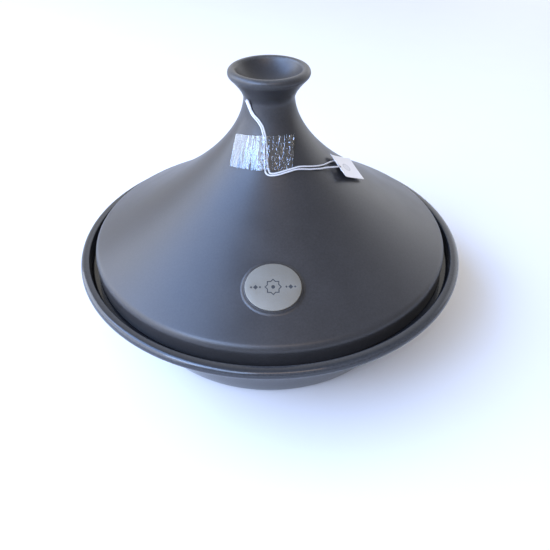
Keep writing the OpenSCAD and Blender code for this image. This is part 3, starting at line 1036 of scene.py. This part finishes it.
class TAGINE_OT_string(bpy.types.Operator):
    """Lays the cotton string over the lid, through the card's hole and back"""

    bl_idname = "tagine.string"
    bl_label = "Tag String"

    def execute(self, context):
        scene = context.scene
        tag = scene.tagine_tag
        cone = Cone(scene.tagine_dish, scene.tagine_lid)
        line = smooth_line(string_route(cone, tag), 10)
        ply_turn, ply_groove = 5.0 * MM, 0.17
        radius = tag.string / 2
        total = sum((b - a).length for a, b in zip(line, line[1:]))

        def ply(run, turn):
            lobe = abs(math.cos(1.5 * (turn - math.tau * run / ply_turn)))
            fluff = 1 + 0.05 * noise.noise(Vector((run / MM * 0.8, turn, 3)))
            end = min(run, total - run)
            splay = 1 + 0.5 * max(0.0, 1 - end / FRAYED_END) ** 0.7
            return radius * splay * fluff * (1 - ply_groove * (1 - lobe) ** 1.5)

        verts, faces = sweep(line, ply, STRING_SIDES)
        rings = len(verts)
        draws = random.Random(4)
        for tip, back in ((line[0], line[3]), (line[-1], line[-4])):
            way = (tip - back).normalized()
            up = Vector((0, 0, 1)).cross(way).cross(way).normalized() * -1
            add_loose_fibres(verts, faces, tip, way, up, 9, draws)
        mesh = bpy.data.meshes.new("string_cotton")
        mesh.from_pydata(verts, [], faces)
        piece = bpy.data.objects.new("string_cotton", mesh)
        scene.collection.objects.link(piece)
        # Painted shade: how deep each point sits in a groove between the plies, which darkens
        # the cotton there.
        groove_shades = mesh.attributes.new("groove", "FLOAT", "POINT")
        for i in range(rings):
            depth = 1 - (verts[i] - line[i // STRING_SIDES]).length / radius
            groove_shades.data[i].value = min(1.0, max(0.0, depth / ply_groove))
        only(piece)
        bpy.ops.object.shade_smooth()
        cotton = twisted_cotton(tag.cotton)
        finish_piece(piece, "lid", cotton, "cotton_string", "tag_string")
        return {"FINISHED"}


# ---------------------------------------------------------------- dish and lid


class TAGINE_OT_dish(bpy.types.Operator):
    """Turns the glazed dish with its foot ring and the seat for the lid"""

    bl_idname = "tagine.dish"
    bl_label = "Dish"

    def execute(self, context):
        dish = context.scene.tagine_dish
        piece = lathe("dish_shell", dish_outline(dish))
        rim, inside = dish.diameter / 2, dish.diameter / 2 - dish.rim_width
        seat = dish.height - dish.seat_depth
        # Edges painted paler: partly thin glaze, partly a painted highlight along them.
        mark_thin_glaze_and_highlight(piece, [
            (rim - 0.6 * MM, dish.height - 1.0 * MM, 1.6 * MM),
            (inside + 0.3 * MM, dish.height - 0.3 * MM, 1.1 * MM),
            (inside - dish.seat_width, seat, 1.5 * MM),
            (rim - dish.foot_inset + 3 * MM, 1.5 * MM, 2.2 * MM),
        ])
        glaze = satin_glaze("satin_dish_glaze", dish.glaze, dish.glaze_thin_and_highlight, 0.12, 0.025)
        finish_piece(piece, "dish", [glaze, bare_clay(dish.clay)], "dish_glaze", "dish")
        for face in piece.data.polygons:
            if face.normal.z < -0.9 and face.center.z < 0.3 * MM:
                face.material_index = 1
        return {"FINISHED"}


def add_boss(lid_shell, cone, badge):
    """A low oval boss that runs smoothly into the lid, as a mesh of its own."""
    deselect()
    bpy.ops.mesh.primitive_circle_add(vertices=96, radius=0.5, fill_type="NGON")
    boss = named("boss")
    bpy.ops.object.mode_set(mode="EDIT")
    size = Vector((1.0, 1.0))
    # Each ring's margin round the badge and its level, in millimetres.
    rings = [(0.35, 1.6), (0.6, 1.55), (0.85, 1.3), (1.0, 0.9), (1.9, 6.0), (3.4, 6.0)]

    def to_margin(margin):
        nonlocal size
        new = Vector((badge.width, badge.height)) + Vector((2, 2)) * margin * MM
        scale = (new.x / size.x, new.y / size.y, 1)
        bpy.ops.transform.resize(value=scale, center_override=(0, 0, 0))
        size = new

    to_margin(rings[0][0])
    bpy.ops.mesh.inset(thickness=0.3 * MM)
    bpy.ops.mesh.select_all(action="SELECT")
    bpy.ops.transform.translate(value=(0, 0, rings[0][1] * MM))
    bpy.ops.mesh.select_mode(type="EDGE")
    bpy.ops.mesh.select_all(action="SELECT")
    bpy.ops.mesh.region_to_loop()
    height = rings[0][1]
    for margin, level in rings[1:]:
        bpy.ops.mesh.extrude_edges_move(
            TRANSFORM_OT_translate={"value": (0, 0, (level - height) * MM)}
        )
        to_margin(margin)
        height = level
    bpy.ops.mesh.select_mode(type="VERT")
    bpy.ops.object.mode_set(mode="OBJECT")
    boss.matrix_world = cone.frame(0, badge.place, 0)
    # The two outer rings drop on to the lid: one just over it, and one just under its skin.
    outer = (("fillet", rings[-2], 0.22 * MM), ("hem", rings[-1], -0.04 * MM))
    for name, (margin, level), offset in outer:
        group = boss.vertex_groups.new(name=name)
        wide = badge.width / 2 + margin * MM
        high = badge.height / 2 + margin * MM
        group.add(
            [v.index for v in boss.data.vertices
             if abs((v.co.x / wide) ** 2 + (v.co.y / high) ** 2 - 1) < 0.01
             and v.co.z > (level - 1) * MM],
            1.0, "REPLACE",
        )
        apply_modifier(
            boss, "SHRINKWRAP", name, target=lid_shell, vertex_group=name,
            wrap_method="PROJECT", use_project_z=True, use_negative_direction=True,
            use_positive_direction=False, offset=offset,
        )
    apply_modifier(boss, "SUBSURF", "soften", levels=2, render_levels=2)
    settle()
    bpy.ops.object.mode_set(mode="EDIT")
    face_outwards()
    bpy.ops.object.shade_smooth()
    return boss


class TAGINE_OT_lid(bpy.types.Operator):
    """Turns the hollow conical lid with its cupped knob, and adds the boss for the badge"""

    bl_idname = "tagine.lid"
    bl_label = "Lid"

    def execute(self, context):
        scene = context.scene
        lid = scene.tagine_lid
        cone = Cone(scene.tagine_dish, lid)
        piece = lathe("lid_shell", lid_outline(cone, lid))
        boss = add_boss(piece, cone, scene.tagine_badge)
        only(piece)
        boss.select_set(True)
        bpy.ops.object.join()
        knob = lid.knob / 2
        # Edges painted paler: partly thin glaze, partly a painted highlight along them.
        mark_thin_glaze_and_highlight(piece, [
            (knob - lid.lip / 2, lid.top, 2.6 * MM),
            (knob - lid.lip + lid.lip_overhang, lid.top - lid.cup_drop, 1.1 * MM),
            (knob - 1.2 * MM, lid.top - lid.lip * 0.8, 1.2 * MM),
            (cone.radius - 0.5 * MM, lid.seat + 0.5 * MM, 1.2 * MM),
        ])
        glaze = satin_glaze("satin_lid_glaze", lid.glaze, lid.glaze_thin_and_highlight, 0.38, 0.03)
        finish_piece(piece, "lid", glaze, "lid_glaze", "lid")
        return {"FINISHED"}


# ---------------------------------------------------------------- badge


def add_pattern(badge, low, high):
    """The stamped pattern as prisms: a star, a dot and three lozenges at each side."""
    deselect()
    bpy.ops.mesh.primitive_circle_add(vertices=16, radius=badge.star, fill_type="NGON",
                                      location=(0, 0, low))
    star = named("pattern")
    # The notch of two crossed squares lies where their sides meet, at 22.5 degrees.
    notch = math.cos(math.pi / 4) / math.cos(math.pi / 8)
    bpy.ops.object.mode_set(mode="OBJECT")
    for v in star.data.vertices:
        corner = round(math.degrees(math.atan2(v.co.y, v.co.x)) / 22.5)
        v.select = corner % 2 == 1
    for shape in (star.data.edges, star.data.polygons):
        for item in shape:
            item.select = False
    bpy.ops.object.mode_set(mode="EDIT")
    bpy.ops.transform.resize(value=(notch, notch, 1), center_override=(0, 0, low))
    bpy.ops.mesh.select_all(action="SELECT")
    bpy.ops.mesh.inset(thickness=badge.star_line, use_even_offset=True)
    bpy.ops.mesh.delete(type="FACE")
    bpy.ops.object.mode_set(mode="OBJECT")
    shapes = [star]
    # Each mark's place across the badge, number of corners and radius.
    side, apart, dot, large, small = (d * MM for d in (12, 3, 1.3, 1.7, 0.85))
    marks = [(0, 24, dot)]
    marks += [(s * (side + k * apart), 4, small if k else large)
              for s in (-1, 1) for k in (-1, 0, 1)]
    for x, corners, radius in marks:
        deselect()
        bpy.ops.mesh.primitive_circle_add(vertices=corners, radius=radius, fill_type="NGON",
                                          location=(x, 0, low))
        shapes.append(bpy.context.object)
    deselect()
    for shape in shapes:
        shape.select_set(True)
    bpy.context.view_layer.objects.active = star
    bpy.ops.object.join()
    bpy.ops.object.mode_set(mode="EDIT")
    bpy.ops.mesh.select_all(action="SELECT")
    bpy.ops.mesh.extrude_region_move(TRANSFORM_OT_translate={"value": (0, 0, high - low)})
    face_outwards()
    settle()
    return star


class TAGINE_OT_badge(bpy.types.Operator):
    """Makes the oval metal badge with its stamped and enamelled pattern"""

    bl_idname = "tagine.badge"
    bl_label = "Badge"

    def execute(self, context):
        scene = context.scene
        badge = scene.tagine_badge
        cone = Cone(scene.tagine_dish, scene.tagine_lid)
        deselect()
        bpy.ops.mesh.primitive_cylinder_add(
            vertices=128, radius=0.5, depth=badge.thick, location=(0, 0, badge.thick / 2)
        )
        plate = named("badge_disc")
        plate.scale = (badge.width, badge.height, 1)
        settle()
        select_edges(plate, lambda a, b: min(a.z, b.z) > badge.thick * 0.9)
        bpy.ops.mesh.bevel(offset=badge.edge_round, segments=4, profile=0.5)
        bpy.ops.mesh.select_mode(type="VERT")
        bpy.ops.object.mode_set(mode="OBJECT")
        stamped = badge.thick - badge.stamp
        cut_away(plate, add_pattern(badge, stamped, badge.thick + 1 * MM))
        enamel = add_pattern(badge, stamped, badge.thick - 0.06 * MM)
        enamel.name = enamel.data.name = "badge_pattern"
        on_boss = cone.frame(0, badge.place, badge.boss + badge.glue)
        for piece in (plate, enamel):
            place(piece, on_boss)
            smooth_up_to(30)
        metal, fill = blasted_aluminium(badge.metal), stoved_enamel(badge.enamel)
        finish_piece(plate, "lid", metal, "badge_metal", "badge_plate")
        finish_piece(enamel, "lid", fill, "badge_enamel", "badge_enamel")
        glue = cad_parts["badge_adhesive"]
        glue.data.materials.clear()
        glue.data.materials.append(foam_adhesive(badge.adhesive))
        return {"FINISHED"}


# ---------------------------------------------------------------- tag card


def card_curl(tag, x, y):
    """How far the card has curled up: a little at every edge, and more past the hole."""
    past_hole = max(0.0, -x - 12.5 * MM) / MM
    lifted = 0.16 * past_hole**1.5
    bow = 0.35 * (x / (tag.long / 2)) ** 2 + 0.25 * (y / (tag.wide / 2)) ** 2
    return (lifted + bow) * MM


class TAGINE_OT_card(bpy.types.Operator):
    """Makes the swing tag's card with its punched hole and curled end"""

    bl_idname = "tagine.card"
    bl_label = "Tag Card"

    def execute(self, context):
        scene = context.scene
        tag = scene.tagine_tag
        cone = Cone(scene.tagine_dish, scene.tagine_lid)
        deselect()
        bpy.ops.mesh.primitive_cube_add(size=1, location=(0, 0, tag.thick / 2))
        card = named("tag_card_printed")
        card.scale = (tag.long, tag.wide, tag.thick)
        settle()
        select_edges(card, lambda a, b: abs(a.z - b.z) > tag.thick / 2)
        bpy.ops.mesh.bevel(offset=tag.corner, segments=5)
        bpy.ops.object.mode_set(mode="OBJECT")
        hole_x = tag.hole_in - tag.long / 2
        deselect()
        bpy.ops.mesh.primitive_cylinder_add(
            vertices=32, radius=tag.hole / 2, depth=tag.thick * 6, location=(hole_x, 0, 0)
        )
        cut_away(card, bpy.context.object)
        only(card)
        bpy.ops.object.mode_set(mode="EDIT")
        bpy.ops.mesh.select_mode(type="VERT")
        cuts = ((Vector((1, 0, 0)), tag.long, 40), (Vector((0, 1, 0)), tag.wide, 12))
        for way, size, parts in cuts:
            for i in range(1, parts):
                bpy.ops.mesh.select_all(action="SELECT")
                bpy.ops.mesh.bisect(plane_co=(i / parts - 0.5) * size * way, plane_no=way)
        bpy.ops.object.mode_set(mode="OBJECT")
        places = card.data.uv_layers.new(name="card")
        for loop in card.data.loops:
            v = card.data.vertices[loop.vertex_index].co
            places.data[loop.index].uv = (v.x / MM, v.y / MM)
        for v in card.data.vertices:
            v.co.z += card_curl(tag, v.co.x, v.co.y)
        place(card, cone.frame(tag.azimuth, tag.place, tag.lift, tag.turn))
        smooth_up_to(40)
        finish_piece(card, "lid", coated_card(tag.card, tag.print), "tag_card", "tag_card")
        return {"FINISHED"}


# ---------------------------------------------------------------- tape


# The two strands' middle where they pass under the tape, low and high: the angle from the
# badge in degrees, and the place on the cone.
STRANDS_LOW, STRANDS_HIGH = (-3.2, 0.7), (-7.0, 0.84)
# The film's creases: how many to the millimetre, how deep in millimetres, and the layer of
# the noise that each is cut from.
CREASES = ((0.24, 0.7, 5.1), (0.5, 0.55, 9.7), (0.95, 0.22, 2.2))
# From the tape's lower edge to its middle, along the cone.
HALF_TAPE = 0.08


def within_one(value):
    """The value, held between 0 and 1."""
    return min(1.0, max(0.0, value))


def film_height(cone, tape, azimuth, t):
    """How far the film stands off the lid: more over the two strands of string."""
    up = (t - STRANDS_LOW[1]) / (STRANDS_HIGH[1] - STRANDS_LOW[1])
    strands = STRANDS_LOW[0] + (STRANDS_HIGH[0] - STRANDS_LOW[0]) * up
    off = (azimuth - math.radians(strands)) * cone.at(t).x
    return tape.play + tape.tent / (1 + (off / tape.tent_side) ** 4)


def crinkle(s, w):
    """The film's wrinkles, in metres: upright ripples at its left, creases elsewhere."""
    x, y = s / MM, w / MM
    ripple_at = Vector((x * 0.5, y * 0.05, 1.3))
    ripples = 0.25 + 0.25 * noise.noise(ripple_at) + 0.12 * noise.noise(ripple_at * 2.6)
    creases = 0.0
    for density, depth, layer in CREASES:
        slant = 0.5 * y + 0.35 * x
        fold = noise.noise(Vector((x * density, slant * density, layer)))
        creases += depth * (1 - abs(fold)) ** 7
    creased = within_one((x + 1) / 4)
    return (ripples * (1 - 0.6 * creased) + creases * (0.08 + 0.92 * creased)) * MM


def trapped_air(s, w):
    """How pale the film is painted, 0 to 1, as the window's reflection: a veil at its left,
    little beyond.
    """
    x, y = s / MM, w / MM
    streaks = 0.6 + 1.3 * noise.noise(Vector((x * 0.9, y * 0.05, 7.7)))
    left = within_one((-3 - x) / 5)
    return within_one((0.03 + 0.2 * left) * streaks)


class TAGINE_OT_tape(bpy.types.Operator):
    """Lays the crinkled clear tape over the string"""

    bl_idname = "tagine.tape"
    bl_label = "Clear Tape"

    def execute(self, context):
        scene = context.scene
        tape = scene.tagine_tape
        cone = Cone(scene.tagine_dish, scene.tagine_lid)
        deselect()
        bpy.ops.mesh.primitive_grid_add(x_subdivisions=150, y_subdivisions=76, size=1)
        film = named("tape_film")
        film.scale = (tape.long, tape.wide, 1)
        settle()
        middle = tape.low + HALF_TAPE
        step = cone.run(middle).length
        # Painted reflection: how pale each point of the film is painted.
        glare = film.data.attributes.new("trapped_air", "FLOAT", "POINT")
        for v in film.data.vertices:
            s = v.co.x
            w = v.co.y * (1 - tape.pucker * within_one(-2 * s / tape.long))
            glare.data[v.index].value = trapped_air(s, w)
            droop = s * s / (8 * cone.at(middle).x)
            t = tape.low + (w + tape.wide / 2 + tape.skew * s - droop) / step
            azimuth = tape.azimuth + s / cone.at(t).x
            v.co = cone.on(azimuth, t, film_height(cone, tape, azimuth, t) + crinkle(s, w))
        apply_modifier(film, "SOLIDIFY", "film", thickness=tape.thick, offset=1.0)
        smooth_up_to(60)
        clear = clear_film(tape.film, tape.glare_tint)
        finish_piece(film, "lid", clear, "clear_tape", "clear_tape")
        return {"FINISHED"}


# ---------------------------------------------------------------- panel and registration

STEPS = [
    TAGINE_OT_stage,
    TAGINE_OT_card,
    TAGINE_OT_string,
    TAGINE_OT_dish,
    TAGINE_OT_lid,
    TAGINE_OT_badge,
    TAGINE_OT_tape,
]


class TAGINE_PT_panel(bpy.types.Panel):
    """Lists the pot's pieces"""

    bl_idname = "TAGINE_PT_panel"
    bl_label = "Tagine Pot"
    bl_space_type = "VIEW_3D"
    bl_region_type = "UI"
    bl_category = "Tagine"

    def draw(self, context):
        for step in STEPS:
            self.layout.operator(step.bl_idname)
        for name, group in GROUPS.items():
            box = self.layout.box()
            box.label(text=name.split("_")[1].capitalize())
            for key in group.__annotations__:
                box.prop(getattr(context.scene, name), key)


CLASSES = [*GROUPS.values(), *STEPS, TAGINE_PT_panel]


def register():
    for each in CLASSES:
        bpy.utils.register_class(each)
    for name, group in GROUPS.items():
        setattr(bpy.types.Scene, name, PointerProperty(type=group))


def unregister():
    for name in GROUPS:
        delattr(bpy.types.Scene, name)
    for each in reversed(CLASSES):
        bpy.utils.unregister_class(each)


def main():
    """Registers the add-on and makes every piece in order."""
    register()
    for step in STEPS:
        category, name = step.bl_idname.split(".")
        getattr(getattr(bpy.ops, category), name)()


if __name__ == "__main__":
    main()
